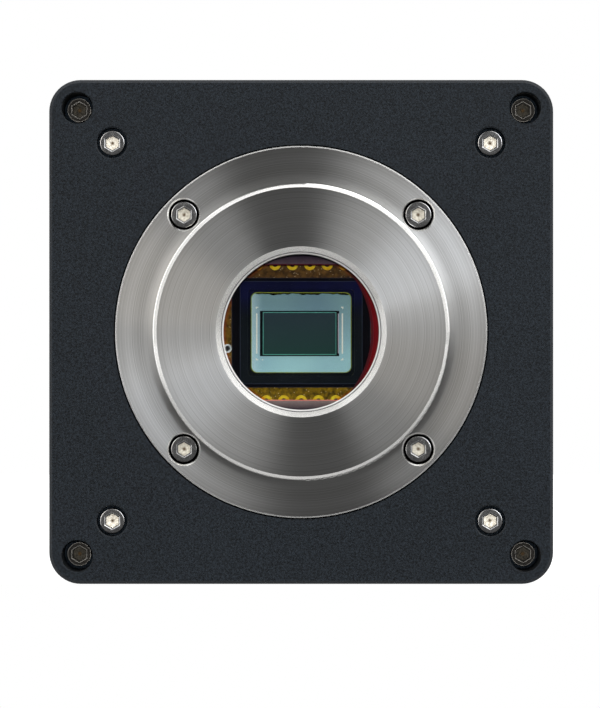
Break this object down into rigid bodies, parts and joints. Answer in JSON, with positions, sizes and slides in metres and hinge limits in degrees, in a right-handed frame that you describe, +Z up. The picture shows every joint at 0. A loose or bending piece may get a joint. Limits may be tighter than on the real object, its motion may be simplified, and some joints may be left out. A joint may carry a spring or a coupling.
{
  "type": "cooled astronomy camera",
  "caption": "Square cooled astronomy camera: lens-thread flange over a windowed sensor chamber, thermoelectric cooler, finned heat sink, fan behind a rear grille, data and power ports.",
  "frame": {"origin": "centre of the lens-mount face, where a lens or telescope adapter seats", "axes": "-Y points out of the lens mount, +Y towards the rear cover, +Z up, +X to the right seen from the front"},
  "size_m": [0.08, 0.0478, 0.08],
  "materials": {
    "dark_anodised_plate": "bead-blasted, black-grey anodised",
    "dark_anodised_body": "bead-blasted, black-grey anodised",
    "turned_aluminium": "fine lathe-turned, clear anodised",
    "bright_steel": "plain stainless",
    "black_steel": "black oxide",
    "black_rubber": "nitrile",
    "coated_glass": "anti-reflection coated",
    "black_chamber": "matt black anodised",
    "sensor_ceramic": "near-black alumina",
    "silicon": "polished silicon",
    "gold_plate": "gold-plated copper",
    "bronze_board": "dark bronze solder mask on glass-fibre board",
    "green_board": "green solder mask on glass-fibre board",
    "black_plastic": "moulded",
    "rotor_plastic": "moulded",
    "plain_aluminium": "machined",
    "white_ceramic": "alumina",
    "pellet_metal": "bismuth telluride",
    "grey_pad": "filled silicone",
    "ribbon_film": "polyimide film",
    "lead_sleeve": "vinyl insulation",
    "washer_fibre": "red fibre",
    "desiccant_cloth": "non-woven pouch",
    "copper_wire": "enamelled copper",
    "plain_steel": "plain steel",
    "magnet_ferrite": "moulded ferrite",
    "bush_brass": "turned brass",
    "bush_steel": "turned stainless",
    "pin_plate": "nickel plate",
    "clear_acrylic": "clear acrylic light pipe"
  },
  "bodies": {
    "camera": {"baffle_plate": "black_chamber", "board_chips": "black_plastic", "board_sockets": "black_plastic", "board_standoffs": "bright_steel", "board_washers": "washer_fibre", "bond_pads": "gold_plate", "chamber_screws": "bright_steel", "chamber_seals": "black_rubber", "chamber_wall": "black_chamber", "cold_finger": "plain_aluminium", "desiccant_pack": "desiccant_cloth", "fan_bearing_tube": "bush_brass", "fan_bearings": "plain_steel", "fan_board": "green_board", "fan_coils": "copper_wire", "fan_frame": "black_plastic", "fan_lead": "lead_sleeve", "fan_screws": "black_steel", "fan_stator": "plain_steel", "feedthrough_seals": "black_rubber", "flange_screws": "bright_steel", "flange_seal": "black_rubber", "front_housing": "dark_anodised_plate", "heat_sink": "plain_aluminium", "housing_gasket": "black_rubber", "housing_screws": "black_steel", "lens_mount_flange": "turned_aluminium", "main_board": "green_board", "power_inductors": "black_plastic", "power_jack": "black_plastic", "power_jack_pin": "pin_plate", "rear_cover": "dark_anodised_body", "rear_cover_screws": "black_steel", "rear_housing": "dark_anodised_body", "sensor_board": "bronze_board", "sensor_board_screws": "black_steel", "sensor_cover_glass": "coated_glass", "sensor_die": "silicon", "sensor_flex": "ribbon_film", "sensor_package": "sensor_ceramic", "sensor_underfill": "black_plastic", "status_light": "clear_acrylic", "tec_cold_plate": "white_ceramic", "tec_hot_plate": "white_ceramic", "tec_leads": "lead_sleeve", "tec_lower_pellets": "pellet_metal", "tec_middle_plate": "white_ceramic", "tec_upper_pellets": "pellet_metal", "thermal_pad": "grey_pad", "thermistor": "lead_sleeve", "tripod_bush": "bush_steel", "usb_shell": "plain_steel", "usb_tongue": "black_plastic", "via_pads": "gold_plate", "window_glass": "coated_glass", "window_seals": "black_rubber"},
    "fan_rotor_body": {"fan_rotor": "rotor_plastic", "fan_magnet": "magnet_ferrite", "fan_shaft": "plain_steel"}
  },
  "joints": [
    {"name": "fan_spin", "type": "hinge", "parent": "camera", "child": "fan_rotor_body", "pos_m": [0, 0.043, 0], "axis": [0, 1, 0], "continuous": true}
  ]
}
